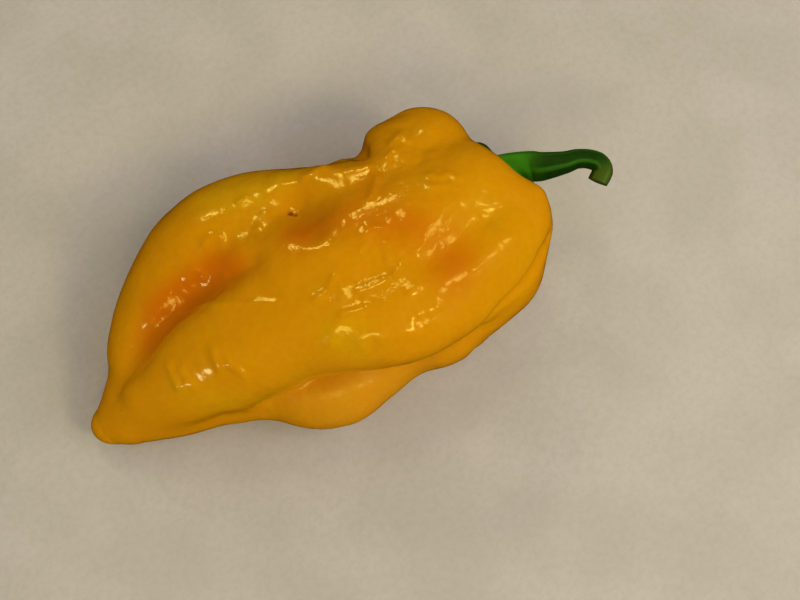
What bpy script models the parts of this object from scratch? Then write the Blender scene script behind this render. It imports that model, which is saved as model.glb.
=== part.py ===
"""A yellow chilli of the lobed habanero kind, lying on its side on a flat surface.

Three pieces that a hand could tell apart, each one closed solid:
  pod     the fruit, a bundle of long lobes that run together at the blunt tip
  calyx   the green cap of sepals pressed into the hollow of the shoulder
  stalk   the short pedicel, flared where it leaves the calyx and hooked at its torn end

Frame: +X from the tip to the stalk, +Z up, z = 0 the surface that the fruit lies on,
origin under the middle of the whole. Lengths in the tables are millimetres.
"""
import bmesh
import bpy
import numpy as np

MM = 0.001
GAP = 0.3                                # air left between two neighbouring solids
COLLECTION = "chilli_pepper"

# Pod. Each lobe is a chain of balls (x, y, z, radius), from the shoulder to the tip.
LOBES = {
    "far_shoulder": [(16.4, 4.4, 12, 6.4), (12.2, 4.6, 12.1, 6.2), (6.9, 2.9, 11.6, 5.8)],
    "far_ridge": [(0.2, 8.9, 15.3, 2.2), (1.7, 7.9, 15.6, 2.5), (3.2, 6.8, 15.9, 2.9),
                  (4.6, 5.7, 16.2, 3.1), (6.2, 4.5, 16.5, 3.2), (7.7, 3.7, 16.6, 3.2),
                  (9.7, 3.4, 16.4, 3.3), (12, 3.2, 16, 3.6)],
    "far_side": [(7, 3.2, 10.8, 5.8), (0.6, 5.9, 10.6, 7.1), (-6.2, 8.6, 10, 8), (-12.1, 9, 9.4, 7.8),
                 (-17.5, 7.5, 8.3, 6.7), (-22.5, 5.2, 7, 5.4), (-26.2, 3.2, 5.6, 3.9)],
    "crown": [(19, -8, 13.5, 5.8), (13.6, -9.2, 15.4, 5.3), (6.2, -9.8, 16.2, 5.2),
              (-0.9, -8.7, 16.4, 5.2), (-7.4, -5, 15.3, 5.6), (-12.9, -3.1, 13.2, 6.1),
              (-18.9, -1.5, 10.5, 5.8), (-23.9, -0.3, 7.9, 4.9), (-28.4, 0.4, 5.5, 3.6),
              (-32, 0.8, 3.9, 2.2)],
    "crown_edge": [(-6.9, -1.9, 17, 3), (-12.4, 0.1, 15.8, 2.9), (-17.3, 1.4, 13.9, 2.7),
                   (-21.4, 1.4, 11.8, 2.5), (-25.4, 1.1, 9.1, 2.3)],
    "near_edge": [(17.2, -11.9, 13.4, 2.8), (12.6, -13, 14.4, 3.1), (7.1, -13.3, 15.7, 3.4),
                  (2.4, -12.6, 16.3, 3.6), (-1.6, -10.8, 16.2, 3.6), (-7, -8, 14.4, 3.1),
                  (-12.6, -6.4, 10.7, 2.6), (-16.6, -5.6, 9.3, 2.5)],
    "near_side": [(8, -12.1, 6.6, 4.8), (4.6, -11.2, 6.5, 4.9), (0.6, -10.6, 6.1, 5.2),
                  (-3.4, -10.6, 5.3, 5.4), (-6.5, -10.6, 5.25, 5.5), (-9.7, -9.3, 5, 5.1),
                  (-13.4, -6.4, 4.7, 4.3), (-18.9, -3.3, 4.5, 4.3), (-23.9, -1.7, 4.3, 4.1),
                  (-28.9, -0.1, 4, 3.2)],
    "near_shoulder": [(15, -10, 10, 7.1), (10.8, -10.6, 9.6, 6.8), (6.8, -11.6, 9, 5.8)],
    "shoulder_lump": [(21.6, -7.1, 16.4, 0.8), (22.4, -7.5, 16.3, 0.85), (23.2, -7.9, 16.1, 0.8)],
    "underside": [(14.6, 2.5, 7.4, 7), (6, 3.7, 7.1, 7.2), (-1.9, 5.3, 6.9, 7.1), (-9.9, 5.9, 6.4, 6.5),
                  (-16.9, 4.2, 5.6, 5.5), (-23.9, 2.2, 4.8, 4.2)],
    "belly": [(14, -4, 6.2, 5.2), (4, -3.6, 6, 5.2), (-6, -2.4, 5.6, 5), (-16, 0, 5.2, 4.6)],
    "middle": [(16.5, -3.2, 13.2, 7.7), (8, -3.1, 14.2, 8.2), (0, -1.3, 13.9, 8.1),
               (-7.4, 1.7, 12.2, 7.2)],
}
BLEND = 0.8                              # how softly neighbouring lobes run together

# Furrows between the lobes: (path of x, y, z and fade, width, depth). The fade lifts the
# furrow out of the skin towards its ends.
FURROWS = {
    "far_valley": ([(-8, 3, 19.4, 1.4), (-12.2, 3.5, 17.6, 0.4), (-16.7, 4.2, 15.6, 0),
                    (-20.6, 3.8, 13.8, 0), (-24.7, 2.8, 11.6, 0.2), (-28.4, 2, 9.2, 1.5)], 2.2, 1.0),
    "shoulder_valley": ([(18.6, -7.6, 19, 1.6), (15.2, -8.4, 20.2, 0.4), (11.5, -9, 21, 0),
                         (7.8, -9, 21.4, 1.6)], 2.6, 0.7),
    "under_crown": ([(9.8, -16.4, 13, 0.8), (7, -16.3, 12, 0.2), (2.4, -15.4, 10.9, 0),
                     (-1.8, -13.7, 10.4, 0), (-7.2, -10.7, 10.1, 0.1), (-12.8, -8.7, 9.6, 0.3),
                     (-16.9, -7.9, 9, 0.8), (-22.9, -5.5, 6.8, 2)], 1.4, 0.4),
    "near_crease": ([(22, -12.8, 14.6, 0), (20.9, -13.4, 15, 0), (18, -14.8, 15.1, 0.1),
                     (14.9, -15.6, 15.4, 0.3), (12, -16.1, 15.6, 0.5), (9.5, -16.6, 14.2, 0.5),
                     (7, -16.9, 13, 0.9)], 0.9, 0.45),
    "shoulder_notch": ([(10.3, 12.5, 8, 0), (10.3, 10.5, 12, 0), (10.1, 8, 15.5, 0.2),
                        (9.5, 5.1, 18.4, 1.6)], 1.6, 1.4),
    "cross_fold": ([(8.5, -18, 4, 0), (8.6, -17.6, 7.5, 0.6)], 1.0, 0.5),
    "tip_neck": ([(-29.3, 5.9, 6, 0), (-29.1, 3.9, 9, 0.2), (-28.9, 0.7, 10, 1.2)], 1.5, 0.4),
    "dent": ([(-0.4, 5.4, 18.2, 0.6), (-0.3, 3.3, 19.8, 0), (-0.6, 1.4, 21, 0.7)], 2.4, 0.9),
}
HOLLOW_CENTRE = (24.8, -1.9, 11.6)       # hollow of the shoulder that takes the calyx
HOLLOW_WIDTH = 4.2
HOLLOW_DEPTH = 3.4
SPINE = [(15.1, -2, 10.8), (3.1, -1.5, 9.2), (-9.9, 1, 7.4), (-21.9, 1, 5.8), (-29.4, 0.3, 4.2)]
POD_AROUND = 72                          # mesh columns around the spine
POD_ALONG = 48                           # mesh rows from the shoulder to the tip

# Calyx: a five-toothed cap laid on the skin of the hollow.
CAP_CENTRE = (23.6, -2.4, 11.8)
CAP_OUT = (0.95, 0.24, 0.06)             # way that the cap and the foot of the stalk face
CAP_RADIUS = 4.2
CAP_TEETH = 5
CAP_TOOTH = 0.1                          # depth of the teeth, as a share of the radius
CAP_THICKNESS = 0.8
SEAT_RADIUS = 1.9                        # flat seat of the stalk in the middle of the cap
SEAT_SLOPE = 0.9                         # width of the slope from the seat down to the cap
SEAT_HEIGHT = 2.1                        # seat above the deepest point of the cap
CAP_AROUND = 30
CAP_RINGS = 18

# Stalk: (x, y, z, radius) after the foot, which stands on the seat.
STALK_FOOT_RADIUS = 2.25
STALK_NECK_RADIUS = 2.2
STALK_NECK_HEIGHT = 0.8                  # the foot stands square to its seat up to here
STALK = [(26.2, -2.7, 12.5, 1.98), (27, -3.8, 13.2, 1.73), (28.2, -5.1, 13.6, 1.54),
         (29.7, -5.9, 13.8, 1.33), (31.1, -6.5, 13.9, 1.18), (32.3, -7.3, 13.8, 1.15),
         (33.1, -8.3, 13.5, 1.2), (33, -9.3, 13.1, 1.25), (31.8, -10, 12.7, 1.2)]
STALK_STEPS = 30


def smooth_path(points, count):
    """Catmull-Rom curve through the points; every column of the table is carried along."""
    p = np.asarray(points, float)
    ends = np.vstack([2 * p[0] - p[1], p, 2 * p[-1] - p[-2]])
    u = np.linspace(0, len(p) - 1, count)
    i = np.minimum(u.astype(int), len(p) - 2)
    t = (u - i)[:, None]
    a, b, c, d = (ends[i + k] for k in range(4))
    return b + 0.5 * t * (c - a + t * (2 * a - 5 * b + 4 * c - d + t * (3 * (b - c) + d - a)))


def chain_distance(places, chain):
    """Distance from each place to the surface of a chain of balls (centre, radius).

    Along a straight chain the squared distance to the centre line is a parabola. The one through
    the nearest centre and its two neighbours gives the foot of the place on the line, and the
    radius there is taken away from the distance.
    """
    centre, radius = chain[:, :-1], chain[:, -1]
    squared = (places ** 2).sum(1)[:, None] - 2 * places @ centre.T + (centre ** 2).sum(1)
    j = np.clip(squared.argmin(1), 1, len(chain) - 2)
    before, at, after = (np.take_along_axis(squared, (j + k)[:, None], 1)[:, 0] for k in (-1, 0, 1))
    x = np.clip(0.5 * (before - after) / (before - 2 * at + after), -1, 1)
    to_line = np.sqrt(np.maximum(at + 0.5 * x * (after - before + x * (before - 2 * at + after)), 1e-6))
    return to_line - np.interp(j + x, np.arange(len(chain)), radius)


def sampled(table):
    """A hand-chosen path as a chain with four samples a point."""
    return smooth_path(table, max(8, 4 * len(table)))


LOBE_CHAINS = [sampled(table) for table in LOBES.values()]
FURROW_CHAINS = [(sampled(table) * (1, 1, 1, -1), width, depth)
                 for table, width, depth in FURROWS.values()]


def skin_distance(places):
    """Distance to the skin of the pod: zero on it, negative inside.

    The lobes are joined by the smooth minimum -b log(sum(exp(-d / b))); each furrow and the
    hollow for the calyx then push the skin in by a bell curve of their own distance.
    """
    joined = sum(np.exp(-chain_distance(places, chain) / BLEND) for chain in LOBE_CHAINS)
    distance = -BLEND * np.log(np.maximum(joined, 1e-300))
    for chain, width, depth in FURROW_CHAINS:
        distance = distance + depth * np.exp(-(chain_distance(places, chain) / width) ** 2)
    from_hollow = np.linalg.norm(places - HOLLOW_CENTRE, axis=1)
    return distance + HOLLOW_DEPTH * np.exp(-(from_hollow / HOLLOW_WIDTH) ** 2)


def meet_skin(start, way, gap=0.0, steps=30):
    """Walk each place along its own way until it lies on the skin, or a gap above it."""
    places = np.array(start, float)
    for _ in range(steps):
        left = np.clip(skin_distance(places) - gap, -3, 12)
        places = places + way * (0.85 * left)[:, None]
    return places


def unit(vectors):
    return vectors / np.linalg.norm(vectors, axis=-1, keepdims=True)


def spine_rays(along, around):
    """Start and inward way of the ray that reaches the skin at (along, around).

    along runs 0 at the shoulder to 1 at the tip. The rays turn through a right angle over
    each end of the spine and stand square to it between, like the normals of a bent pill.
    """
    shoulder_end, tip_end = 0.22, 0.86
    over_tip = np.clip((along - tip_end) / (1 - tip_end), 0, 1)
    turn = 0.5 * np.pi * (np.clip(along / shoulder_end, 0, 1) + over_tip)
    first, last = 0.6 * shoulder_end, tip_end + 0.4 * (1 - tip_end)
    share = np.clip((along - first) / (last - first), 0, 1)
    spine = smooth_path(SPINE, 200)
    length = np.concatenate([[0], np.cumsum(np.linalg.norm(np.diff(spine, axis=0), axis=1))])
    foot = np.stack([np.interp(share * length[-1], length, spine[:, k]) for k in range(3)], -1)
    axis = unit(spine[0] - spine[-1])
    side = unit(np.cross((0, 0, 1), axis))
    up = np.cross(axis, side)
    across = np.cos(around)[:, None] * side + np.sin(around)[:, None] * up
    way = np.cos(turn)[:, None] * axis + np.sin(turn)[:, None] * across
    return foot + 28 * way, -way


def even_rows(samples=90, columns=24):
    """along as a function of the share of the skin's mean length, so that rows lie evenly."""
    along = np.linspace(0, 1, samples)
    around = np.linspace(0, 2 * np.pi, columns, endpoint=False)
    grid_along, grid_around = (g.ravel() for g in np.meshgrid(along, around, indexing="ij"))
    skin = meet_skin(*spine_rays(grid_along, grid_around)).reshape(samples, columns, 3)
    step = np.linalg.norm(np.diff(skin, axis=0), axis=2).mean(1)
    length = np.concatenate([[0], np.cumsum(step)])
    return length / length[-1], along


def new_ball(name, columns, rows):
    """A unit sphere object, and the angle from its pole and around it at each vertex."""
    mesh = bpy.data.meshes.new(name)
    bm = bmesh.new()
    bmesh.ops.create_uvsphere(bm, u_segments=columns, v_segments=rows, radius=1)
    bm.to_mesh(mesh)
    bm.free()
    obj = bpy.data.objects.new(name, mesh)
    co = np.empty(3 * len(mesh.vertices))
    mesh.vertices.foreach_get("co", co)
    x, y, z = unit(co.reshape(-1, 3)).T
    return obj, np.arccos(np.clip(z, -1, 1)), np.arctan2(y, x)


def move_vertices(obj, places_mm):
    """Put the vertices of an object at places given in millimetres, and shade it smooth."""
    obj.data.vertices.foreach_set("co", (places_mm * MM).ravel())
    obj.data.update()
    obj.data.shade_smooth()


def make_pod():
    """The fruit: a ball whose vertices move out to the skin, pressed flat where it lies."""
    obj, from_pole, around = new_ball("pod", POD_AROUND, POD_ALONG)
    length, along = even_rows()
    rows = np.interp(from_pole / np.pi, length, along)
    places = meet_skin(*spine_rays(rows, around))
    places[:, 2] = np.maximum(places[:, 2], 0)
    move_vertices(obj, places)
    return obj


def cap_frame():
    """Axes of the calyx (out, across, up) and the point of the skin under its middle."""
    out = unit(np.array(CAP_OUT))
    across = unit(np.cross((0, 0, 1), out))
    start = np.array([CAP_CENTRE]) + 8 * out
    middle = meet_skin(start, -out[None], GAP)[0]
    return out, across, np.cross(out, across), middle


def make_calyx():
    """The cap of sepals: a flattened ball whose underside follows the hollow."""
    obj, from_pole, around = new_ball("calyx", CAP_AROUND, CAP_RINGS)
    out, across, up, middle = cap_frame()
    share = np.sin(from_pole)
    radius = CAP_RADIUS * (1 + CAP_TOOTH * np.cos(CAP_TEETH * around)) * share
    spread = np.cos(around)[:, None] * across + np.sin(around)[:, None] * up
    start = middle + radius[:, None] * spread + 8 * out
    under = (meet_skin(start, -out[None], GAP) - middle) @ out
    domed = under + CAP_THICKNESS * np.sqrt(np.clip(1 - share ** 2, 0, 1))
    seat = np.clip((SEAT_RADIUS + SEAT_SLOPE - radius) / SEAT_SLOPE, 0, 1)
    top = domed + (SEAT_HEIGHT - domed) * seat
    height = np.where(from_pole < 0.5 * np.pi, top, under)
    move_vertices(obj, middle + radius[:, None] * spread + height[:, None] * out)
    return obj


def make_stalk():
    """The pedicel: a tube of changing thickness from its foot on the seat to the hook."""
    out, _, _, middle = cap_frame()
    foot = middle + (SEAT_HEIGHT + GAP) * out
    neck = foot + STALK_NECK_HEIGHT * out
    path = smooth_path([(*foot, STALK_FOOT_RADIUS), (*neck, STALK_NECK_RADIUS), *STALK], STALK_STEPS)
    curve = bpy.data.curves.new("stalk", "CURVE")
    curve.dimensions = "3D"
    curve.bevel_depth = MM
    curve.bevel_resolution = 4
    curve.use_fill_caps = True
    spline = curve.splines.new("POLY")
    spline.points.add(len(path) - 1)
    for point, (x, y, z, radius) in zip(spline.points, path):
        point.co = (x * MM, y * MM, z * MM, 1)
        point.radius = radius
    return bpy.data.objects.new("stalk", curve)


def material(name, colour, roughness):
    """A plain Principled material."""
    made = bpy.data.materials.new(name)
    made.use_nodes = True
    shader = made.node_tree.nodes["Principled BSDF"]
    shader.inputs["Base Color"].default_value = (*colour, 1)
    shader.inputs["Roughness"].default_value = roughness
    shader.inputs["Metallic"].default_value = 0
    return made


def build():
    """Empty the scene and put the three pieces in a collection of their own."""
    for old in list(bpy.data.objects):
        bpy.data.objects.remove(old)
    parts = bpy.data.collections.new(COLLECTION)
    bpy.context.scene.collection.children.link(parts)
    for obj, colour, roughness in (
        (make_pod(), (0.62, 0.27, 0.01), 0.25),
        (make_calyx(), (0.05, 0.13, 0.02), 0.5),
        (make_stalk(), (0.03, 0.08, 0.01), 0.5),
    ):
        obj.data.materials.append(material(f"{obj.name}_skin", colour, roughness))
        parts.objects.link(obj)


build()
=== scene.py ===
# %% [markdown]
# # A yellow chilli, lying on its side
#
# The subject is a habanero-type chilli: a hollow, waxy fruit of several long lobes that run
# together at a blunt tip, a green cap of sepals in the hollow of its shoulder, and a short
# hooked stalk. All three pieces are modelled here as numpy surfaces that stand in for the
# plain solids of the frame. Lengths are worked out in millimetres, because the fruit is only
# 59 mm long, and become metres when they go into a mesh.

# %% The frame
from itertools import product

import bpy
import numpy as np
from mathutils import Matrix, Vector


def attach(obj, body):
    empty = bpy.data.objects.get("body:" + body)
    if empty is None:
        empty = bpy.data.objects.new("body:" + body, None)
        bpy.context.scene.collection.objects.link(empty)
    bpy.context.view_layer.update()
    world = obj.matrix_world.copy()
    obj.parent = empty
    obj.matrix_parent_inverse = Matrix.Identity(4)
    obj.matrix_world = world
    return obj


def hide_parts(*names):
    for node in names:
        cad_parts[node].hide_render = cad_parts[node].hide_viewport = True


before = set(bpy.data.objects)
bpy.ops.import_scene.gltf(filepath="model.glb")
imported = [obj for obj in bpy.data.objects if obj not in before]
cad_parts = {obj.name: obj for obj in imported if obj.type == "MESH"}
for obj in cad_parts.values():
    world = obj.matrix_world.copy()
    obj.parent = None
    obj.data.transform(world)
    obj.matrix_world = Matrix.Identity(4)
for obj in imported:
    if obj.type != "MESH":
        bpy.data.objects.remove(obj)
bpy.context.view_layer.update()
MM = 0.001

# %% [markdown]
# ## The camera
#
# The fruit is seen from above and a little in front, so the camera stands 74 degrees above the
# table and 35 degrees to the left of straight ahead. A compass direction and a height turn into
# three axes: back (from the subject to the camera), right, and up. Those three are the columns
# of the camera's rotation matrix.

# %% Camera
CAMERA_AZIMUTH = np.radians(-35)
CAMERA_HEIGHT = np.radians(74)
CAMERA_DISTANCE = 142.0
CAMERA_AIM = np.array([6.1, -5.5, 0.0])

back = np.array([
    np.sin(CAMERA_AZIMUTH) * np.cos(CAMERA_HEIGHT),
    -np.cos(CAMERA_AZIMUTH) * np.cos(CAMERA_HEIGHT),
    np.sin(CAMERA_HEIGHT),
])
right = np.array([np.cos(CAMERA_AZIMUTH), np.sin(CAMERA_AZIMUTH), 0.0])
up = np.cross(back, right)
away = np.array([-right[1], right[0], 0.0])


def add_camera():
    """A 50 mm camera on the line from the aim point along back."""
    data = bpy.data.cameras.new("camera")
    data.lens = 50
    data.clip_start = 0.005
    camera = bpy.data.objects.new("camera", data)
    camera.matrix_world = Matrix.Translation((CAMERA_AIM + CAMERA_DISTANCE * back) * MM) @ Matrix(
        np.column_stack([right, up, back])).to_4x4()
    bpy.context.scene.collection.objects.link(camera)
    bpy.context.scene.camera = camera
    return camera


print("camera at", [round(v, 3) for v in add_camera().matrix_world.translation])

# %% [markdown]
# ## Paths and chains of balls
#
# A soft natural lobe is easy to describe as a chain of balls that grow and shrink along a curve.
# A table gives a few balls, and a Catmull-Rom curve fills in the rest. It passes through every
# ball of the table, and it carries the radius along as a fourth coordinate.


# %% Paths
def smooth_path(points, count):
    """Catmull-Rom curve through the points; every column of the table is carried along.

    Between b and c, with neighbours a and d, it is b + t/2 times (c - a + t (2a - 5b + 4c - d
    + t (3 (b - c) + d - a))).
    """
    p = np.asarray(points, float)
    ends = np.vstack([2 * p[0] - p[1], p, 2 * p[-1] - p[-2]])
    u = np.linspace(0, len(p) - 1, count)
    i = np.minimum(u.astype(int), len(p) - 2)
    t = (u - i)[:, None]
    a, b, c, d = (ends[i + k] for k in range(4))
    return b + 0.5 * t * (c - a + t * (2 * a - 5 * b + 4 * c - d + t * (3 * (b - c) + d - a)))


def chain_distance(places, chain):
    """Distance from each place to the surface of a chain of balls (centre, radius).

    Along a straight chain the squared distance to the centre line is a parabola. The one through
    the nearest centre and its two neighbours gives the foot of the place on the line, and the
    radius there is taken away from the distance.
    """
    centre, radius = chain[:, :-1], chain[:, -1]
    squared = (places ** 2).sum(1)[:, None] - 2 * places @ centre.T + (centre ** 2).sum(1)
    j = np.clip(squared.argmin(1), 1, len(chain) - 2)
    before, at, after = (np.take_along_axis(squared, (j + k)[:, None], 1)[:, 0] for k in (-1, 0, 1))
    x = np.clip(0.5 * (before - after) / (before - 2 * at + after), -1, 1)
    to_line = np.sqrt(np.maximum(at + 0.5 * x * (after - before + x * (before - 2 * at + after)), 1e-9))
    return to_line - np.interp(j + x, np.arange(len(chain)), radius)


def sampled(table):
    """A table's path as a chain with four samples a point."""
    return smooth_path(table, max(8, 4 * len(table)))


def unit(vectors):
    """The same directions with length one."""
    return vectors / np.linalg.norm(vectors, axis=-1, keepdims=True)


def bell(distance, width):
    """Bell curve: one at distance zero, and e to the minus one at the width."""
    return np.exp(-(distance / width) ** 2)


print("a path of 3 points gets", len(sampled(np.zeros((3, 4)))), "samples")

# %% [markdown]
# ## The lobes of the fruit
#
# A chilli's ovary has three or four chambers, and each one swells into a lobe of its own. That
# is why the fruit looks like a bundle and not like a turned form, and why it is built as a
# bundle here. The crown is the broad lobe on top. The far side swells behind it, the near side
# hangs below it like a wing, and the two shoulders bulge around the stalk. Furrows mark where
# the lobes meet. Each furrow is a path of x, y, z and a fade, which lifts the furrow out of the
# skin towards its ends.

# %% Lobes and furrows
LOBES = {
    "far_shoulder": [(16.4, 4.4, 12, 6.4), (12.2, 4.6, 12.1, 6.2), (6.9, 2.9, 11.6, 5.8)],
    "far_ridge": [(0.2, 8.9, 15.3, 2.2), (1.7, 7.9, 15.6, 2.5), (3.2, 6.8, 15.9, 2.9),
                  (4.6, 5.7, 16.2, 3.1), (6.2, 4.5, 16.5, 3.2), (7.7, 3.7, 16.6, 3.2),
                  (9.7, 3.4, 16.4, 3.3), (12, 3.2, 16, 3.6)],
    "far_side": [(7, 3.2, 10.8, 5.8), (0.6, 5.9, 10.6, 7.1), (-6.2, 8.6, 10, 8), (-12.1, 9, 9.4, 7.8),
                 (-17.5, 7.5, 8.3, 6.7), (-22.5, 5.2, 7, 5.4), (-26.2, 3.2, 5.6, 3.9)],
    "crown": [(19, -8, 13.5, 5.8), (13.6, -9.2, 15.4, 5.3), (6.2, -9.8, 16.2, 5.2),
              (-0.9, -8.7, 16.4, 5.2), (-7.4, -5, 15.3, 5.6), (-12.9, -3.1, 13.2, 6.1),
              (-18.9, -1.5, 10.5, 5.8), (-23.9, -0.3, 7.9, 4.9), (-28.4, 0.4, 5.5, 3.6),
              (-32, 0.8, 3.9, 2.2)],
    "crown_edge": [(-6.9, -1.9, 17, 3), (-12.4, 0.1, 15.8, 2.9), (-17.3, 1.4, 13.9, 2.7),
                   (-21.4, 1.4, 11.8, 2.5), (-25.4, 1.1, 9.1, 2.3)],
    "near_edge": [(17.2, -11.9, 13.4, 2.8), (12.6, -13, 14.4, 3.1), (7.1, -13.3, 15.7, 3.4),
                  (2.4, -12.6, 16.3, 3.6), (-1.6, -10.8, 16.2, 3.6), (-7, -8, 14.4, 3.1),
                  (-12.6, -6.4, 10.7, 2.6), (-16.6, -5.6, 9.3, 2.5)],
    "near_side": [(8, -12.1, 6.6, 4.8), (4.6, -11.2, 6.5, 4.9), (0.6, -10.6, 6.1, 5.2),
                  (-3.4, -10.6, 5.3, 5.4), (-6.5, -10.6, 5.25, 5.5), (-9.7, -9.3, 5, 5.1),
                  (-13.4, -6.4, 4.7, 4.3), (-18.9, -3.3, 4.5, 4.3), (-23.9, -1.7, 4.3, 4.1),
                  (-28.9, -0.1, 4, 3.2)],
    "near_shoulder": [(15, -10, 10, 7.1), (10.8, -10.6, 9.6, 6.8), (6.8, -11.6, 9, 5.8)],
    "shoulder_lump": [(21.6, -7.1, 16.4, 0.8), (22.4, -7.5, 16.3, 0.85), (23.2, -7.9, 16.1, 0.8)],
    "underside": [(14.6, 2.5, 7.4, 7), (6, 3.7, 7.1, 7.2), (-1.9, 5.3, 6.9, 7.1), (-9.9, 5.9, 6.4, 6.5),
                  (-16.9, 4.2, 5.6, 5.5), (-23.9, 2.2, 4.8, 4.2)],
    "belly": [(14, -4, 6.2, 5.2), (4, -3.6, 6, 5.2), (-6, -2.4, 5.6, 5), (-16, 0, 5.2, 4.6)],
    "middle": [(16.5, -3.2, 13.2, 7.7), (8, -3.1, 14.2, 8.2), (0, -1.3, 13.9, 8.1),
               (-7.4, 1.7, 12.2, 7.2)],
}
BLEND = 0.8

FURROWS = {
    "far_valley": ([(-8, 3, 19.4, 1.4), (-12.2, 3.5, 17.6, 0.4), (-16.7, 4.2, 15.6, 0),
                    (-20.6, 3.8, 13.8, 0), (-24.7, 2.8, 11.6, 0.2), (-28.4, 2, 9.2, 1.5)], 2.2, 1.0),
    "shoulder_valley": ([(18.6, -7.6, 19, 1.6), (15.2, -8.4, 20.2, 0.4), (11.5, -9, 21, 0),
                         (7.8, -9, 21.4, 1.6)], 2.6, 0.7),
    "under_crown": ([(9.8, -16.4, 13, 0.8), (7, -16.3, 12, 0.2), (2.4, -15.4, 10.9, 0),
                     (-1.8, -13.7, 10.4, 0), (-7.2, -10.7, 10.1, 0.1), (-12.8, -8.7, 9.6, 0.3),
                     (-16.9, -7.9, 9, 0.8), (-22.9, -5.5, 6.8, 2)], 1.4, 0.4),
    "near_crease": ([(22, -12.8, 14.6, 0), (20.9, -13.4, 15, 0), (18, -14.8, 15.1, 0.1),
                     (14.9, -15.6, 15.4, 0.3), (12, -16.1, 15.6, 0.5), (9.5, -16.6, 14.2, 0.5),
                     (7, -16.9, 13, 0.9)], 0.9, 0.45),
    "shoulder_notch": ([(10.3, 12.5, 8, 0), (10.3, 10.5, 12, 0), (10.1, 8, 15.5, 0.2),
                        (9.5, 5.1, 18.4, 1.6)], 1.6, 1.4),
    "cross_fold": ([(8.5, -18, 4, 0), (8.6, -17.6, 7.5, 0.6)], 1.0, 0.5),
    "tip_neck": ([(-29.3, 5.9, 6, 0), (-29.1, 3.9, 9, 0.2), (-28.9, 0.7, 10, 1.2)], 1.5, 0.4),
    "dent": ([(-0.4, 5.4, 18.2, 0.6), (-0.3, 3.3, 19.8, 0), (-0.6, 1.4, 21, 0.7)], 2.4, 0.9),
}
HOLLOW_CENTRE = np.array([24.8, -1.9, 11.6])
HOLLOW_WIDTH = 4.2
HOLLOW_DEPTH = 3.4

LOBE_CHAINS = [sampled(table) for table in LOBES.values()]
FURROW_CHAINS = [
    (sampled(table) * (1, 1, 1, -1), width, depth) for table, width, depth in FURROWS.values()]
print(len(LOBE_CHAINS), "lobes and", len(FURROW_CHAINS), "furrows")

# %% [markdown]
# ## One skin around all the lobes
#
# The lobes could be separate meshes joined by a Boolean, but real lobes run into each other
# without a seam. A distance function does that: each lobe gives its own distance, and a smooth
# minimum blends them, so that the skin is simply where the result is zero. Furrows and the
# hollow for the calyx are added to the distance, which pushes the skin inwards there.
#
# To find the skin, rays walk inwards to a bent spine, each step as long as the distance left.
# That gives a plain grid, rows along the fruit and columns around it, with no holes to mend.


# %% Skin
def skin_distance(places):
    """Distance to the smooth skin: zero on it, negative inside.

    Smooth minimum: minus b times the logarithm of the sum of exp(-distance / b). Each furrow
    then adds its depth times a bell curve of the distance from its path.
    """
    joined = sum(np.exp(-chain_distance(places, chain) / BLEND) for chain in LOBE_CHAINS)
    distance = -BLEND * np.log(np.maximum(joined, 1e-300))
    for chain, width, depth in FURROW_CHAINS:
        distance = distance + depth * bell(chain_distance(places, chain), width)
    from_hollow = np.linalg.norm(places - HOLLOW_CENTRE, axis=1)
    return distance + HOLLOW_DEPTH * bell(from_hollow, HOLLOW_WIDTH)


def meet_skin(start, way, gap=0.0, steps=30):
    """Walk each place along its own way until it lies on the skin, or a gap above it."""
    places = np.array(start, float)
    for _ in range(steps):
        left = np.clip(skin_distance(places) - gap, -3, 12)
        places = places + way * (0.85 * left)[:, None]
    return places


SPINE = [(15.1, -2, 10.8), (3.1, -1.5, 9.2), (-9.9, 1, 7.4), (-21.9, 1, 5.8), (-29.4, 0.3, 4.2)]
SHOULDER_SHARE, TIP_SHARE = 0.22, 0.86
RAY_START = 28.0


def spine_rays(along, around):
    """Start and inward way of the ray that reaches the skin at (along, around).

    along runs from 0 at the shoulder to 1 at the tip. The rays turn through a right angle over
    each end of the spine and stand square to it between, like the normals of a bent pill.
    """
    over_tip = np.clip((along - TIP_SHARE) / (1 - TIP_SHARE), 0, 1)
    turn = 0.5 * np.pi * (np.clip(along / SHOULDER_SHARE, 0, 1) + over_tip)
    first, last = 0.6 * SHOULDER_SHARE, TIP_SHARE + 0.4 * (1 - TIP_SHARE)
    share = np.clip((along - first) / (last - first), 0, 1)
    spine = smooth_path(SPINE, 200)
    length = np.concatenate([[0], np.cumsum(np.linalg.norm(np.diff(spine, axis=0), axis=1))])
    foot = np.stack([np.interp(share * length[-1], length, spine[:, k]) for k in range(3)], -1)
    axis = unit(spine[0] - spine[-1])
    side = unit(np.cross((0, 0, 1), axis))
    over = np.cross(axis, side)
    across = np.cos(around)[:, None] * side + np.sin(around)[:, None] * over
    way = np.cos(turn)[:, None] * axis + np.sin(turn)[:, None] * across
    return foot + RAY_START * way, -way


def grid(rows, columns, along=None):
    """along and around at every point of a grid, row by row."""
    along = np.linspace(0, 1, rows) if along is None else along
    around = np.linspace(0, 2 * np.pi, columns, endpoint=False)
    return [g.ravel() for g in np.meshgrid(along, around, indexing="ij")]


def even_rows(rows, samples=121, columns=48):
    """Values of along that lie evenly on the skin, and a coarse table of its distances."""
    start, way = spine_rays(*grid(samples, columns))
    coarse = meet_skin(start, way, steps=20)
    step = np.linalg.norm(np.diff(coarse.reshape(samples, columns, 3), axis=0), axis=2).mean(1)
    length = np.concatenate([[0], np.cumsum(step)])
    along = np.interp(np.linspace(0, length[-1], rows), length, np.linspace(0, 1, samples))
    walked = np.linalg.norm(coarse - start, axis=1).reshape(samples, columns)
    return along, walked


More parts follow.
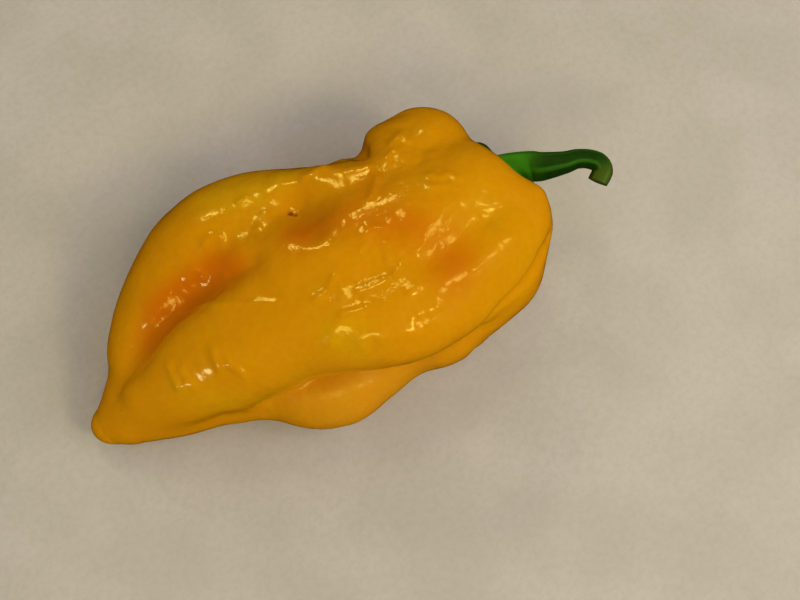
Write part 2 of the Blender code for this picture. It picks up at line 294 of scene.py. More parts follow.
def read_table(table, along, around):
    """Value of a coarse (along, around) table at finer places, by straight interpolation."""
    rows, columns = table.shape
    i, j = along * (rows - 1), around / (2 * np.pi) * columns
    i0 = np.minimum(i.astype(int), rows - 2)
    j0 = j.astype(int) % columns
    di, dj, j1 = i - i0, j - j.astype(int), (j0 + 1) % columns
    upper = table[i0, j0] * (1 - dj) + table[i0, j1] * dj
    lower = table[i0 + 1, j0] * (1 - dj) + table[i0 + 1, j1] * dj
    return upper * (1 - di) + lower * di


POD_ROWS, POD_COLUMNS = 290, 336
row_along, walked = even_rows(POD_ROWS)
pod_along, pod_around = grid(POD_ROWS, POD_COLUMNS, row_along)
start, way = spine_rays(pod_along, pod_around)
start = start + way * (read_table(walked, pod_along, pod_around) - 0.4)[:, None]
pod_skin = meet_skin(start, way, steps=8)
print("smooth skin:", len(pod_skin), "points, mm", pod_skin.min(0).round(2), pod_skin.max(0).round(2))

# %% [markdown]
# ## Noise
#
# Blender's own noise textures live in the shader and can only fake relief. Wrinkles that change
# the outline have to be in the mesh, so the same kind of noise is worked out here. Space is cut
# into cubes, each corner gets a random slope, and the eight slopes around a point are blended.


# %% Noise
SLOPE_RANDOM = np.random.default_rng(12)
SHUFFLE = SLOPE_RANDOM.permutation(256)
SLOPES = unit(SLOPE_RANDOM.normal(size=(256, 3)))


def noise(places, size, shift=0.0):
    """Gradient noise, about -0.6 to 0.6, with bumps as wide as size.

    Each corner of the cube around a point gives its slope times the step to the point. They
    are blended with weights 6t^5 - 15t^4 + 10t^3.
    """
    p = places / size + shift
    cell = np.floor(p).astype(int)
    step = p - cell
    ease = step ** 3 * (step * (6 * step - 15) + 10)
    total = np.zeros(len(p))
    for corner in product((0, 1), repeat=3):
        i, j, k = (cell + corner).T % 256
        slope = SLOPES[SHUFFLE[(SHUFFLE[(SHUFFLE[i] + j) % 256] + k) % 256]]
        weight = np.prod(np.where(corner, ease, 1 - ease), axis=1)
        total += weight * ((step - corner) * slope).sum(1)
    return total


def noise_vector(places, size, shift):
    """Three noises as a vector, to bend a pattern out of its straight cubes."""
    return np.stack([noise(places, size, shift + 17.3 * k) for k in range(3)], axis=1)


def ease_step(low, high, value):
    """Zero below low, one above high, and 3t^2 - 2t^3 between."""
    t = np.clip((value - low) / (high - low), 0, 1)
    return t * t * (3 - 2 * t)


print("noise runs from", noise(pod_skin, 3.3).min().round(2), "to", noise(pod_skin, 3.3).max().round(2))

# %% [markdown]
# ## Wrinkles
#
# A habanero's skin is thin and waxy over soft flesh, and it crumples as the fruit ripens: broad
# dimples, a net of soft creases, and a few sharp little folds that catch the light. The folds
# that matter are listed one by one, each as a short path seen from above with its height and
# width. The rest is noise, whose absolute value gives creases with rounded pillows between them.

# %% Wrinkles
CRUMPLES = [                             # centre, reach along x, y and z, and how much
    ((4, -6, 18), (9, 6.5, 12), 0.75),
    ((13, 4, 17), (5, 5, 8), 0.9),
    ((-13, 6, 16), (8, 5, 8), 0.5),
]
CREASE_FLOOR = 0.18                      # level of a crease noise that leaves the skin as it is
CREASE_ROUND = 0.02                      # rounds the bottom of a crease
FOLD_SCALE = 1.5
LITTLE_FOLDS = [
    # far ridge, behind the dent
    ([(2.4, 8.3), (3.4, 8.1), (4.8, 8.2)], 0.13, 0.5),
    ([(4.9, 7.7), (6.4, 5.9), (8.8, 5)], 0.12, 0.6),
    ([(6.8, 1.1), (8.7, 2.9)], 0.1, 0.5),
    ([(-5.2, 10.2), (-4.2, 10.3)], 0.12, 0.5),
    ([(-5.2, 6.1), (-3.5, 7.3)], 0.1, 0.7),
    # the ring and the pairs beside the valley
    ([(-11, 8.5), (-10.1, 8.8), (-9.3, 8.2), (-9.4, 7.3)], 0.13, 0.5),
    ([(-14.9, 6.6), (-13.7, 7.2)], 0.13, 0.5),
    ([(-13.2, 6.7), (-13.2, 5.7)], 0.12, 0.5),
    ([(-11.4, 4), (-11.2, 2.7)], 0.1, 0.5),
    ([(-21, 5.7), (-19.6, 6.1), (-18.6, 6)], 0.12, 0.7),
    # the edge of the crown beside the valley
    ([(-17.9, 4.4), (-16, 3.5), (-14.1, 1.7), (-11.2, -0.7), (-8.6, -2.9)], 0.1, 0.4),
    # the crown towards the tip
    ([(-22, -0.6), (-22.4, -2.7)], 0.13, 0.5),
    ([(-22.4, -3.2), (-21, -4)], 0.13, 0.5),
    ([(-21.1, -1.9), (-21.2, -3.1)], 0.1, 0.5),
    ([(-17.1, -2.8), (-17.4, -4.4)], 0.12, 0.5),
    ([(-16.4, -4.9), (-15.6, -6.6)], 0.12, 0.5),
    # the crumpled middle
    ([(-4.6, -5.2), (-3.8, -5.2)], 0.13, 0.5),
    ([(-2.9, -5), (-1.9, -4.3)], 0.13, 0.5),
    ([(-0.7, -7.1), (0.7, -7.6), (2.5, -7.8)], 0.12, 0.5),
    ([(-3.3, -8.3), (-2.2, -8.9), (-0.9, -9.3)], 0.12, 0.5),
    ([(3.2, -2.5), (4.2, -1.8)], 0.1, 0.5),
    ([(3.8, -2.7), (4.8, -2.5), (5.4, -3.1)], 0.1, 0.5),
    ([(2.3, -3.5), (3.2, -3.4)], 0.13, 0.4),
    ([(4.6, -4.8), (4.1, -6.1)], 0.1, 0.5),
    ([(5.5, -4.7), (5.4, -6.1)], 0.1, 0.5),
    ([(6.6, -6.1), (7.1, -7.2)], 0.1, 0.5),
    ([(3.9, -7.7), (4.9, -7.6)], 0.13, 0.5),
    ([(3.9, -10.4), (5.1, -10.3)], 0.12, 0.5),
    # the sharp folds over the near edge
    ([(2.5, -12.8), (3.3, -12.6)], 0.08, 0.45),
    ([(3.5, -12.9), (4.6, -12.9)], 0.08, 0.45),
    ([(4.7, -13.3), (5.5, -13.2)], 0.08, 0.45),
    ([(5.8, -13.3), (6.7, -13.5)], 0.08, 0.45),
    ([(-3.3, -11.6), (-1.9, -11.7), (-0.5, -13), (1.8, -13.9)], 0.16, 0.9),
    ([(-6.1, -10), (-5, -9), (-4.2, -8.8)], 0.14, 0.8),
    # the shoulders
    ([(12.9, 6), (13.8, 6.3)], 0.12, 0.5),
    ([(14.5, 6.5), (14.7, 5.2)], 0.12, 0.5),
    ([(11.2, 4.6), (12.3, 4.9)], 0.1, 0.5),
    ([(13.7, -0.5), (14.4, -1.4)], 0.12, 0.5),
    ([(15.4, -1.5), (16.1, -2.5)], 0.12, 0.5),
    ([(12.9, -1.9), (14.4, -2.6)], 0.12, 0.5),
    ([(16.9, -6.8), (18.3, -7.2)], 0.1, 0.8),
    ([(17.3, -11.4), (18.5, -11.2), (19.7, -11.2)], 0.12, 0.7),
]


def line_distance(spots, path):
    """Distance seen from above to a path: the least over its straight stretches."""
    path = np.asarray(path, float)
    nearest = np.full(len(spots), 1e9)
    for a, b in zip(path[:-1], path[1:]):
        along_it = np.clip((spots - a) @ (b - a) / ((b - a) @ (b - a)), 0, 1)
        nearest = np.minimum(nearest, np.linalg.norm(spots - a - along_it[:, None] * (b - a), axis=1))
    return nearest


def grid_normals(points, rows, columns):
    """Outward normals of the pod's grid: the cross product of its two directions."""
    table = points.reshape(rows, columns, 3)
    down = np.gradient(table, axis=0)
    round_it = np.roll(table, -1, 1) - np.roll(table, 1, 1)
    normals = np.cross(down, round_it)
    normals[0], normals[-1] = normals[1].mean(0), normals[-2].mean(0)
    return unit(normals.reshape(-1, 3))


def wrinkles(places, normals):
    """Height of the relief over the smooth skin, and how crumpled the skin is from 0 to 1.

    Broad dimples, plus creases where a bent noise passes zero, plus the little folds as bell
    curves across their paths. Creases and folds are strong where the skin is crumpled.
    """
    facing_up = ease_step(0.1, 0.5, normals[:, 2])
    crumpled = np.maximum.reduce([
        share * bell(np.linalg.norm((places - centre) / reach, axis=1), 1)
        for centre, reach, share in CRUMPLES
    ])
    bent = places + 1.2 * noise_vector(places, 4.0, 3.0)
    dimples = 0.22 * noise(places, 6.5, 1.0) + 0.1 * noise(places, 3.6, 5.0)
    crease = np.sqrt(noise(bent, 3.3, 9.0) ** 2 + CREASE_ROUND ** 2) - CREASE_FLOOR
    fine = np.sqrt(noise(bent, 1.5, 21.0) ** 2 + CREASE_ROUND ** 2) - CREASE_FLOOR
    relief = dimples + (0.1 + 0.42 * crumpled) * crease + (0.04 + 0.1 * crumpled) * fine
    for path, height, width in LITTLE_FOLDS:
        fold = bell(line_distance(places[:, :2], path), width)
        relief = relief + FOLD_SCALE * height * facing_up * fold
    return relief, crumpled


pod_normal = grid_normals(pod_skin, POD_ROWS, POD_COLUMNS)
relief, crumpled = wrinkles(pod_skin, pod_normal)
print("relief runs from", relief.min().round(2), "to", relief.max().round(2), "mm")

# %% [markdown]
# ## The pod's mesh
#
# The first and last rows of the grid are single points, so they become one vertex each and the
# faces around them are triangles: no hole, no doubled vertices and no seam. The underside is
# pressed flat at the table, as the weight of the fruit presses it.
#
# The mesh also carries a few numbers of its own at every vertex. Valley tells how deep a place
# lies between the lobes and sets the painted shade there. Ridge tells how far it stands out and
# sets the painted light on it. The tint number gives painted shade where it is below zero and
# painted light where it is above. Bruise marks the brown scars, crumpled the creased skin, and
# dull the lobe with less gloss and less painted shade. The finish reads them as attributes, so
# the colour, painted light and shade included, follows the shape however the fruit is turned.


# %% Mesh from a closed grid
def closed_mesh(name, points, rows, columns, numbers):
    """An object from a grid whose columns close into rings and whose end rows are poles.

    Four corners make a face between neighbouring rows, and three at a pole. numbers holds one
    value a point for each attribute.
    """
    keep = np.concatenate([[0], np.arange(columns, (rows - 1) * columns), [(rows - 1) * columns]])
    ring = 1 + np.arange((rows - 2) * columns).reshape(rows - 2, columns)
    after = np.roll(ring, -1, 1)
    quads = np.stack([ring[:-1], ring[1:], after[1:], after[:-1]], -1).reshape(-1, 4)
    first = np.stack([np.zeros(columns, int), ring[0], after[0]], -1)
    last = np.stack([np.full(columns, len(keep) - 1), after[-1], ring[-1]], -1)
    mesh = bpy.data.meshes.new(name)
    mesh.from_pydata((points[keep] * MM).tolist(), [], first.tolist() + quads.tolist() + last.tolist())
    for title, values in numbers.items():
        layer = mesh.attributes.new(title, "FLOAT", "POINT")
        layer.data.foreach_set("value", values[keep].astype(np.float32))
    mesh.polygons.foreach_set("use_smooth", np.ones(len(mesh.polygons), bool))
    mesh.update()
    made = bpy.data.objects.new(name, mesh)
    bpy.context.scene.collection.objects.link(made)
    return made


def volume(mesh):
    """Signed volume in cubic centimetres; it is positive where the faces point outwards."""
    mesh.calc_loop_triangles()
    corner = np.empty(3 * len(mesh.loop_triangles), np.int32)
    mesh.loop_triangles.foreach_get("vertices", corner)
    places = np.empty(3 * len(mesh.vertices), np.float32)
    mesh.vertices.foreach_get("co", places)
    a, b, c = places.reshape(-1, 3).astype(float)[corner.reshape(-1, 3)].transpose(1, 0, 2)
    return float((a * np.cross(b, c)).sum() / 6 * 1e6)


# %% The pod
CURVE_REACH = 3.0
WING = (-4.5, -15, 8)                    # the lobe that hangs below and shines less
WING_REACH = (10, 6, 7)
SCAR_WOBBLE = 0.8
SCARS = [((-1.2, 5.7, 17.9), 0.5), ((-0.8, 5.3, 18.1), 0.35), ((-29.6, 0, 9.6), 0.35),
         ((-3.4, -15.1, 9.9), 0.3)]
SHADE_AND_LIGHT_TINTS = [
    # painted shade: deep orange in the valley, the dent and the hollows of the crown
    ((-22.5, 3.7, 12.2), 2.5, -0.6), ((-18.9, 5.6, 14), 3, -0.9), ((-15.3, 5.6, 15.2), 2.8, -0.7),
    ((-11.5, 5.1, 17.1), 3, -0.9), ((-9, 3, 18.6), 2.5, -0.4), ((-1.8, 2.4, 20.3), 3, -0.8),
    ((2.5, 0.8, 21.8), 2.8, -0.5), ((5.7, -2.3, 22.5), 3, -0.5), ((8.7, -4.7, 22.2), 3, -0.5),
    ((11.2, -9.4, 20.6), 3.4, -0.45), ((8.6, -11.6, 20.7), 3.2, -0.45), ((7.7, 2.6, 20.3), 3, -0.4),
    # painted light: yellow on the outer curve of the far lobe, along the near edge and on the shoulder
    ((-6.7, 13.5, 16.4), 3.2, 0.9), ((-3, 11.6, 17), 2.8, 0.8), ((0.6, 9.7, 16.9), 2.2, 0.6),
    ((-22.5, -3.6, 14.5), 2.5, 0.3), ((-20.7, -6.5, 13.1), 2.8, 0.4), ((-17.4, -7.9, 13.9), 2.8, 0.4),
    ((-14.5, -9.1, 12), 2.8, 0.4), ((-10.5, -10, 16.3), 2.5, 0.4), ((-5.5, -9.4, 20.7), 3, 0.4),
    ((-3.6, -11.4, 20.5), 2.4, 0.4), ((17, -6.8, 20.3), 3.4, 0.45), ((19, -12, 17), 3.4, 0.3),
    ((10, -16, 15), 3.5, 0.3),
]

pod_points = pod_skin + relief[:, None] * pod_normal
pod_points[:, 2] = np.maximum(pod_points[:, 2], 0)
# Valley and ridge measure the shape; the finish turns them into painted shade in the hollows and painted
# light on the ridges.
valley = np.clip(1 - skin_distance(pod_skin + CURVE_REACH * pod_normal) / CURVE_REACH, 0, 1)
ridge = np.clip(1 + skin_distance(pod_skin - CURVE_REACH * pod_normal) / CURVE_REACH, 0, 1)
tint = np.zeros(len(pod_skin))
for place, width, yellower in SHADE_AND_LIGHT_TINTS:
    tint = tint + yellower * bell(np.linalg.norm(pod_skin - place, axis=1), width)
bruise = np.zeros(len(pod_skin))
for place, width in SCARS:
    wobble = 1 + SCAR_WOBBLE * noise(pod_skin, 0.5, 2.0)
    bruise = np.maximum(bruise, bell(np.linalg.norm(pod_skin - place, axis=1), width * wobble))
dull = bell(np.linalg.norm((pod_skin - WING) / WING_REACH, axis=1), 1)
pod = closed_mesh("pod_skin_surface", pod_points, POD_ROWS, POD_COLUMNS,
                  {"valley": valley, "ridge": ridge, "bruise": bruise, "tint": tint,
                   "crumpled": crumpled, "dull": dull})
print("pod:", len(pod.data.polygons), "faces,", round(volume(pod.data), 1), "cubic centimetres;",
      "valley up to", valley.max().round(2), "ridge up to", ridge.max().round(2))

# %% [markdown]
# ## The calyx
#
# The cap of a chilli is its dried-down flower: five short sepals grown into one thin disc that
# clings to the hollow of the shoulder. It is drawn like the pod, as a grid of rings and spokes.
# The underside walks onto the skin, so the disc follows the hollow; the upper side stands a
# sepal's thickness above it and rises in the middle into a seat for the stalk. One sepal has a
# long narrow tip, which peeps out between the two shoulders.

# %% Calyx
CAP_CENTRE = np.array([23.6, -2.4, 11.8])
CAP_OUT = unit(np.array([0.95, 0.24, 0.06]))
CAP_RADIUS = 4.2
CAP_TEETH = 5
CAP_TOOTH, CAP_TOOTH_POINT = 0.1, 0.05
TOOTH_TURN = -0.3
LONG_TOOTH, LONG_TOOTH_WIDTH = 0.4, 0.15
CAP_THICKNESS = 0.8
SEAT_RADIUS = 2.2
SEAT_SLOPE = 0.9
SEAT_HEIGHT = 1.9
SKIN_GAP = 0.03
CAP_ROWS, CAP_COLUMNS = 90, 200

cap_across = unit(np.cross((0, 0, 1), CAP_OUT))
cap_up = np.cross(CAP_OUT, cap_across)
cap_middle = meet_skin((CAP_CENTRE + 8 * CAP_OUT)[None], -CAP_OUT[None], SKIN_GAP)[0]


def cap_surface(from_pole, around):
    """Points of the calyx; from_pole is 0 in the middle of the top and pi below.

    The radius swells by a tenth at each tooth, sharpened by the fourth power of the same wave,
    and one tooth is drawn out by a bell curve. Above, the height over the skin is a flat dome
    plus the seat, with veins that run from the seat to the teeth. Below, it is zero.
    """
    share = np.sin(from_pole)
    tooth = np.cos(CAP_TEETH * (around - TOOTH_TURN))
    from_long = around - TOOTH_TURN - 2 * np.pi / CAP_TEETH
    swell = CAP_TOOTH * tooth + CAP_TOOTH_POINT * np.abs(tooth) ** 4
    rim = CAP_RADIUS * (1 + swell + LONG_TOOTH * bell(from_long, LONG_TOOTH_WIDTH))
    radius = rim * share
    spread = np.cos(around)[:, None] * cap_across + np.sin(around)[:, None] * cap_up
    start = cap_middle + radius[:, None] * spread + 8 * CAP_OUT
    under = (meet_skin(start, -CAP_OUT[None], SKIN_GAP) - cap_middle) @ CAP_OUT
    vein = 0.09 * bell(np.sin(2.5 * around), 0.3) * ease_step(0.05, 0.4, 1 - share)
    domed = under + CAP_THICKNESS * np.sqrt(np.clip(1 - share ** 2, 0, 1)) + vein
    seat = ease_step(0, 1, (SEAT_RADIUS + SEAT_SLOPE - radius) / SEAT_SLOPE)
    top = domed + (SEAT_HEIGHT - domed) * seat
    height = np.where(from_pole < 0.5 * np.pi, top, under)
    return cap_middle + radius[:, None] * spread + height[:, None] * CAP_OUT, share


cap_along, cap_around = grid(CAP_ROWS, CAP_COLUMNS)
cap_points, cap_share = cap_surface(np.pi * cap_along, cap_around)
cap_points = cap_points + (0.05 * noise(cap_points, 0.9, 4.0))[:, None] * CAP_OUT
calyx = closed_mesh("calyx_surface", cap_points, CAP_ROWS, CAP_COLUMNS,
                    {"outwards": cap_share, "vein": bell(np.sin(2.5 * cap_around), 0.35)})
print("calyx:", len(calyx.data.polygons), "faces,",
      round(volume(calyx.data) * 1000, 1), "cubic millimetres")

# %% [markdown]
# ## The stalk
#
# The stalk is a profile carried along a path. The path leaves the calyx square to it, bends over
# at once and ends in a hook, where it was torn from the plant. The profile is a circle with five
# low ribs. At each place of the path the profile faces some way, and two axes stand across that
# way: one level, and one at right angles to both. The profile is drawn on those. The bend at the
# foot is shorter than the stalk is thick, so the profile turns more slowly than the path does.

# %% Stalk
STALK_SINK = 0.6
STALK_FOOT_RADIUS = 2.8
STALK_NECK_RADIUS = 2.5
STALK_NECK_HEIGHT = 0.9
STALK = [(26.3, -3.7, 12.8, 1.92), (27.2, -4.6, 13.3, 1.75), (28.3, -5.3, 13.6, 1.57),
         (29.7, -6, 13.8, 1.35), (31.1, -6.5, 13.9, 1.18), (32.3, -7.3, 13.8, 1.15),
         (33.1, -8.3, 13.5, 1.2), (33, -9.3, 13.1, 1.25), (31.8, -10, 12.7, 1.2)]
STALK_RINGS, STALK_COLUMNS, STALK_END_RINGS = 240, 96, 14
STALK_SETTLED = 0.4                      # share of the length where its rings stand square to it


def carried_profile(path, rings, columns, end_steps, first_facing):
    """A ribbed round profile carried along a path, with closed ends.

    The rings slow down to a stop at both ends while their size shrinks to nothing, which closes
    the tube. The torn end sinks in towards its middle. The first ring faces first_facing, and
    the rings turn gradually to face along the path, so that a bend shorter than the tube is
    wide doesn't fold its wall. The angle runs backwards, which makes the faces point outwards.
    """
    turn, around = grid(rings, columns, np.linspace(0, 1, rings))
    around = -around
    line = smooth_path(path, 400)
    length = np.concatenate([[0], np.cumsum(np.linalg.norm(np.diff(line[:, :3], axis=0), axis=1))])
    ring_number = turn * (rings - 1)
    share = np.clip((ring_number - end_steps) / (rings - 1 - 2 * end_steps), 0, 1)
    size = np.clip(np.minimum(ring_number, rings - 1 - ring_number) / end_steps, 0, 1)
    centre, tangent = (
        np.stack([np.interp(share * length[-1], length, table[:, k]) for k in range(3)], -1)
        for table in (line[:, :3], np.gradient(line[:, :3], axis=0)))
    tangent = unit(tangent)
    settled = ease_step(0, 1, share / STALK_SETTLED)[:, None]
    facing = unit((1 - settled) * first_facing + settled * tangent)
    level = unit(np.cross((0, 0, 1), facing))
    over = np.cross(facing, level)
    radius = np.interp(share * length[-1], length, line[:, 3])
    rib = np.cos(5 * around + 1.1 + 0.6 * share)
    radius = radius * (1 + (0.03 + 0.04 * bell(share, 0.25)) * rib) * size
    spread = np.cos(around)[:, None] * level + np.sin(around)[:, None] * over
    points = centre + radius[:, None] * spread
    torn = (share > 0.5) * (1 - size)
    points = points + (torn * (0.25 * noise(points, 0.5, 6.0) - 0.35))[:, None] * tangent
    return points, share, rib, torn


stalk_foot = cap_middle + (SEAT_HEIGHT - STALK_SINK) * CAP_OUT
stalk_neck = stalk_foot + STALK_NECK_HEIGHT * CAP_OUT
stalk_path = [(*stalk_foot, STALK_FOOT_RADIUS), (*stalk_neck, STALK_NECK_RADIUS), *STALK]
stalk_points, stalk_share, stalk_rib, stalk_torn = carried_profile(
    stalk_path, STALK_RINGS, STALK_COLUMNS, STALK_END_RINGS, CAP_OUT)
stalk = closed_mesh("stalk_surface", stalk_points, STALK_RINGS, STALK_COLUMNS,
                    {"outwards": stalk_share, "rib": 0.5 + 0.5 * stalk_rib, "torn": stalk_torn})
print("stalk:", len(stalk.data.polygons), "faces,",
      round(volume(stalk.data) * 1000, 1), "cubic millimetres")

# %% [markdown]
# ## Shader sums
#
# A material is a sum of patterns, and it reads best when it is written as one. Wire wraps an
# output socket, and its operators add Math nodes. Every other node comes from the method node,
# which sets the node up first and then fills its sockets with values or wires.


# %% Wires and finishes
class Wire:
    """An output socket that can be used in sums, as if it were a number."""

    def __init__(self, finish, socket):
        self.finish, self.socket = finish, socket

    def folded(self):
        """The distance from zero: it turns a noise around zero into one with sharp creases."""
        return self._math("ABSOLUTE", self)

    def _math(self, operation, *values):
        return self.finish.node("ShaderNodeMath", {"operation": operation}, dict(enumerate(values)))

    def __add__(self, other):
        return self._math("ADD", self, other)

    def __sub__(self, other):
        return self._math("SUBTRACT", self, other)

    def __rsub__(self, other):
        return self._math("SUBTRACT", other, self)

    def __mul__(self, other):
        return self._math("MULTIPLY", self, other)

    __radd__, __rmul__ = __add__, __mul__


class Finish:
    """A material with a Principled shader, and the one method that adds a node to it."""

    def __init__(self, name, **constants):
        self.material = bpy.data.materials.new(name)
        self.material.use_nodes = True
        self.tree = self.material.node_tree
        self.shader = self.tree.nodes["Principled BSDF"]
        for socket, value in constants.items():
            self.feed(self.shader.inputs[socket.replace("_", " ")], value)

    def feed(self, socket, value):
        """Link a wire, or set a plain value."""
        if isinstance(value, Wire):
            self.tree.links.new(value.socket, socket)
        elif hasattr(socket.default_value, "__len__") and len(socket.default_value) == 4:
            socket.default_value = (*value, 1)
        else:
            socket.default_value = value

    def node(self, kind, settings=(), sockets=(), output=0):
        """Add a node: its settings first, then its sockets by name or number."""
        made = self.tree.nodes.new(kind)
        for name, value in dict(settings).items():
            setattr(made, name, value)
        for name, value in dict(sockets).items():
            self.feed(made.inputs[name], value)
        return Wire(self, made.outputs[output])

    def attribute(self, name):
        """The number that the mesh carries under this name."""
        return self.node("ShaderNodeAttribute", {"attribute_name": name}, output="Fac")

    def here(self):
        """Object coordinates, in metres."""
        return self.node("ShaderNodeTexCoord", output="Object")

    def noise(self, size, detail=2.0, roughness=0.5):
        """Noise from 0 to 1 with bumps about size millimetres wide."""
        return self.node("ShaderNodeTexNoise", {}, {
            "Vector": self.here(), "Scale": 1 / (size * MM), "Detail": detail, "Roughness": roughness})

    def between(self, value, low, high):
        """Zero where value is below low, one where it is above high."""
        return self.node("ShaderNodeMapRange", {"interpolation_type": "SMOOTHSTEP"}, {
            "Value": value, "From Min": low, "From Max": high})

    def mix(self, share, first, second):
        """Colour mix: first where share is 0, second where it is 1."""
        sockets = {0: share, 6: first, 7: second}
        return self.node("ShaderNodeMix", {"data_type": "RGBA"}, sockets, output=2)

    def bump(self, height, depth, strength):
        """Relief without geometry: height times depth millimetres."""
        return self.node("ShaderNodeBump", {}, {
            "Height": height, "Distance": depth * MM, "Strength": strength})

    def surface(self, **wires):
        """Connect the Principled sockets that change over the surface."""
        for name, wire in wires.items():
            self.feed(self.shader.inputs[name.replace("_", " ")], wire)
        return self.material


print("finish tools ready")

# %% [markdown]
# ## Waxy yellow skin
#
# A ripe yellow chilli is golden where the light falls on it and deep orange in its valleys,
# where light has bounced from skin to skin and come through the flesh. Here that light and
# shade are painted into the colour. Painted shade, deep orange, goes into the valleys, the dent
# and the hollows, read from the valley attribute and the tint table. Painted light, lemon yellow,
# goes on the ridges, edges and outer curves, beside the skin's own lemon blotches. A little
# subsurface scattering is added. The gloss is a thin wax coat over a shiny layer. Its roughness
# is patchy, and the lobe that hangs below is duller than the rest and gets less painted shade.

# %% Pod finish
GOLD = (0.6, 0.25, 0.001)
DEEP_ORANGE = (0.54, 0.135, 0.0008)
LEMON = (0.6, 0.305, 0.0015)
SCAR_BROWN = (0.26, 0.055, 0.004)

wax = Finish("pod_wax", Roughness=0.2, Coat_Weight=0.06, Coat_Roughness=0.05, IOR=1.45,
             Specular_Tint=(1.0, 0.9, 0.35), Coat_Tint=(1.0, 0.9, 0.6),
             Subsurface_Weight=0.15, Subsurface_Radius=(1.0, 0.4, 0.03), Subsurface_Scale=1.0 * MM)
blotch = wax.noise(9, 3)
mottle = wax.noise(1.3, 4, 0.6)
dull = wax.attribute("dull")
# Painted shade: deep orange mixed into the valleys between the lobes, less on the duller lobe below.
depth = wax.between(wax.attribute("valley") + 0.35 * (mottle - 0.5), 0.08, 0.75) * (1 - 0.9 * dull)
proud = wax.between(wax.attribute("ridge"), 0.35, 0.9)
# Painted light: ridges, edges and outer curves come out lemon yellow, on top of the skin's own random
# lemon blotches.
unripe_and_painted_light = wax.attribute("tint") + 0.25 * wax.between(blotch, 0.35, 0.7) + 0.1 * proud
skin = wax.mix(wax.between(unripe_and_painted_light, 0.0, 1.0), GOLD, LEMON)
# Painted shade: deep orange where the tint number is below zero, in the valley, the dent and the
# hollows.
skin = wax.mix(wax.between(wax.attribute("tint"), 0.0, -1.0), skin, DEEP_ORANGE)
# Painted shade in the valleys, from depth.
skin = wax.mix(0.35 * depth, skin, DEEP_ORANGE)
skin = wax.mix(0.2 * wax.between(wax.noise(0.7, 4, 0.65), 0.35, 0.65), skin, DEEP_ORANGE)
skin = wax.mix(wax.between(wax.attribute("bruise"), 0.3, 0.8), skin, SCAR_BROWN)
creases = (wax.noise(2.6, 3, 0.55) - 0.5).folded() + 0.25 * (wax.noise(1.2, 2, 0.5) - 0.5).folded()
fine_relief = 0.03 * wax.noise(0.5, 3, 0.6) + (0.25 + 0.35 * wax.attribute("crumpled")) * creases
pod_wax = wax.surface(
    Base_Color=skin,
    Roughness=0.08 + 0.12 * wax.noise(2.2, 3, 0.55) + 0.3 * dull,
    Normal=wax.bump(fine_relief, 0.4, 0.8),
)
pod.data.materials.append(pod_wax)
print("pod finish has", len(pod_wax.node_tree.nodes), "nodes")

# %% [markdown]
# ## Green calyx and stalk
#
# Both are leaf tissue: dark green, with paler veins, a satin sheen, and a fibrous straw-coloured
# face where the stalk tore. The stalk's rib crests are paler green, a painted highlight, and its
# flared foot is painted pale green as painted light.

# %% Green finishes
LEAF = (0.008, 0.042, 0.002)
DARK_LEAF = (0.003, 0.018, 0.001)
PALE_LEAF_AND_HIGHLIGHT = (0.034, 0.185, 0.003)
STRAW = (0.08, 0.10, 0.012)

cap_leaf = Finish("calyx_leaf", Roughness=0.42, Specular_Tint=(0.5, 1.0, 0.25), Specular_IOR_Level=0.4)
leaf = cap_leaf.mix(cap_leaf.noise(1.2, 4), DARK_LEAF, LEAF)
leaf = cap_leaf.mix(0.6 * cap_leaf.attribute("vein"), leaf, PALE_LEAF_AND_HIGHLIGHT)
leaf = cap_leaf.mix(cap_leaf.between(cap_leaf.attribute("outwards"), 0.75, 0.2), leaf, PALE_LEAF_AND_HIGHLIGHT)
calyx.data.materials.append(cap_leaf.surface(
    Base_Color=leaf, Roughness=0.38 + 0.2 * cap_leaf.noise(0.8, 3),
    Normal=cap_leaf.bump(cap_leaf.noise(0.35, 4, 0.6), 0.05, 0.5)))

stalk_leaf = Finish("stalk_leaf", Roughness=0.42, Specular_Tint=(0.5, 1.0, 0.25), Specular_IOR_Level=0.4)
outwards = stalk_leaf.attribute("outwards")
leaf = stalk_leaf.mix(stalk_leaf.noise(1.1, 4), DARK_LEAF, LEAF)
# Painted highlight: the crests of the ribs paler green.
leaf = stalk_leaf.mix(0.3 * stalk_leaf.between(stalk_leaf.attribute("rib"), 0.6, 1), leaf, PALE_LEAF_AND_HIGHLIGHT)
# Painted light: the flared foot of the stalk paler green.
leaf = stalk_leaf.mix(stalk_leaf.between(outwards, 0.4, 0.18), leaf, PALE_LEAF_AND_HIGHLIGHT)
leaf = stalk_leaf.mix(0.6 * stalk_leaf.between(outwards, 0.8, 0.95), leaf, STRAW)
leaf = stalk_leaf.mix(stalk_leaf.between(stalk_leaf.attribute("torn"), 0.1, 0.5), leaf, STRAW)
stalk.data.materials.append(stalk_leaf.surface(
    Base_Color=leaf, Roughness=0.36 + 0.2 * stalk_leaf.noise(0.7, 3),
    Normal=stalk_leaf.bump(stalk_leaf.noise(0.3, 4, 0.6), 0.06, 0.5)))
print("leaf finishes on", calyx.name, "and", stalk.name)

# %% [markdown]
# ## Standing for the solids
#
# Each surface rides on the only body and hides the plain solid that it stands for.

# %% Riding on the frame
for piece, node in ((pod, "pod"), (calyx, "calyx"), (stalk, "stalk")):
    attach(piece, "root")
    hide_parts(node)
print("pieces ride on root:", pod.name, calyx.name, stalk.name)

# %% [markdown]
# ## Table and light
#
# The table is a pale matt board. The light is that of a room: a wide soft panel overhead makes
# the one soft shadow and isn't mirrored in the skin. Seven small panels around the fruit are,
# and each draws the bright folds of the side that faces it. Six are warm, so that the glints stay
# yellow, and the one low at the left is nearly white.

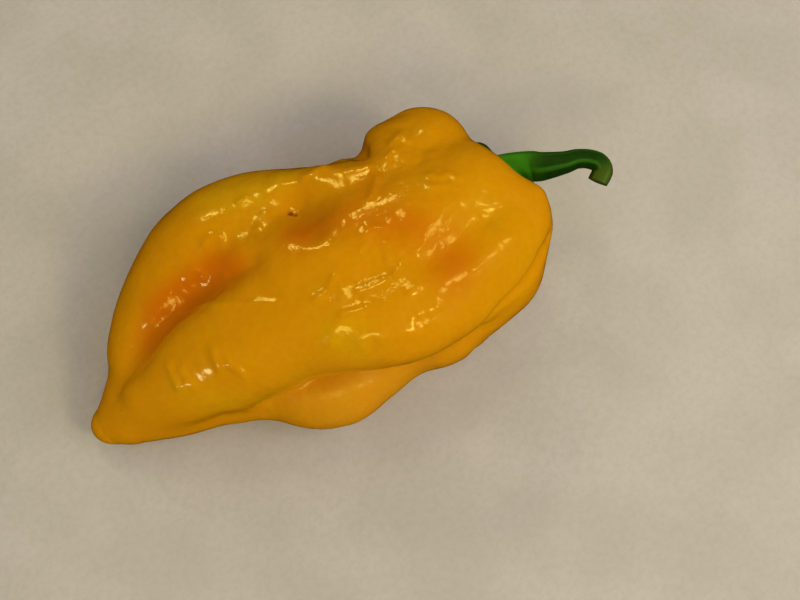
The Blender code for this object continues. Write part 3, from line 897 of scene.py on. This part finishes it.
# %% Table
floor_mesh = bpy.data.meshes.new("table")
floor_mesh.from_pydata([(-1, -1, 0), (1, -1, 0), (1, 1, 0), (-1, 1, 0)], [], [(0, 1, 2, 3)])
floor = bpy.data.objects.new("table", floor_mesh)
bpy.context.scene.collection.objects.link(floor)
floor.visible_glossy = False
board = Finish("table_board", Roughness=0.75, Specular_IOR_Level=0.2)
grain = board.between(board.noise(0.9, 4, 0.7), 0.35, 0.7)
cloud = board.noise(14, 3)
tone = board.mix(board.between(cloud, 0.35, 0.65), (0.465, 0.42, 0.425), (0.51, 0.46, 0.475))
floor.data.materials.append(board.surface(
    Base_Color=board.mix(0.3 * grain, tone, (0.36, 0.325, 0.31)), Roughness=0.7 + 0.1 * grain))
print("table", [round(v, 1) for v in floor.dimensions])


# %% Lights
WARM = (1.0, 0.9, 0.3)


def add_panel(name, towards, distance, size, power, colour, mirrored=True):
    """A square soft panel that looks at the fruit; towards is (right, away, up).

    A panel that isn't mirrored lights the fruit but doesn't show in its gloss.
    """
    data = bpy.data.lights.new(name, "AREA")
    data.shape = "SQUARE"
    data.size = size
    data.energy = power
    data.color = colour
    way = unit(towards[0] * right + towards[1] * away + towards[2] * np.array([0, 0, 1.0]))
    panel = bpy.data.objects.new(name, data)
    panel.location = Vector(CAMERA_AIM * MM + distance * way)
    panel.rotation_euler = Vector(way).to_track_quat("Z", "Y").to_euler()
    panel.visible_glossy = mirrored
    bpy.context.scene.collection.objects.link(panel)
    return panel


PANELS = {                               # towards, distance, size, power, colour
    "panel_middle": ((-0.06, 0.42, 0.9), 0.6, 0.1, 0.28, WARM),
    "panel_right": ((0.6, -0.4, 0.7), 0.6, 0.11, 0.7, WARM),
    "panel_right_far": ((0.62, -0.02, 0.78), 0.6, 0.07, 0.15, WARM),
    "panel_far": ((-0.2, 0.78, 0.6), 0.7, 0.07, 0.25, WARM),
    "panel_far_left": ((-0.46, 0.6, 0.65), 0.7, 0.08, 0.3, WARM),
    "panel_near": ((0.04, -0.7, 0.71), 0.7, 0.18, 0.8, WARM),
    "panel_low_left": ((-0.6, -0.68, 0.42), 0.7, 0.1, 0.45, (1.0, 1.0, 0.9)),
}
add_panel("panel_overhead", (0.38, -0.08, 0.34), 0.36, 0.3, 0.57, (0.98, 0.98, 0.95), mirrored=False)
for name, values in PANELS.items():
    add_panel(name, *values)

world = bpy.data.worlds.new("room")
world.use_nodes = True
world.node_tree.nodes["Background"].inputs["Color"].default_value = (0.95, 0.97, 1.0, 1)
world.node_tree.nodes["Background"].inputs["Strength"].default_value = 0.36
world.cycles_visibility.glossy = False
bpy.context.scene.world = world
bpy.context.scene.view_settings.view_transform = "Standard"
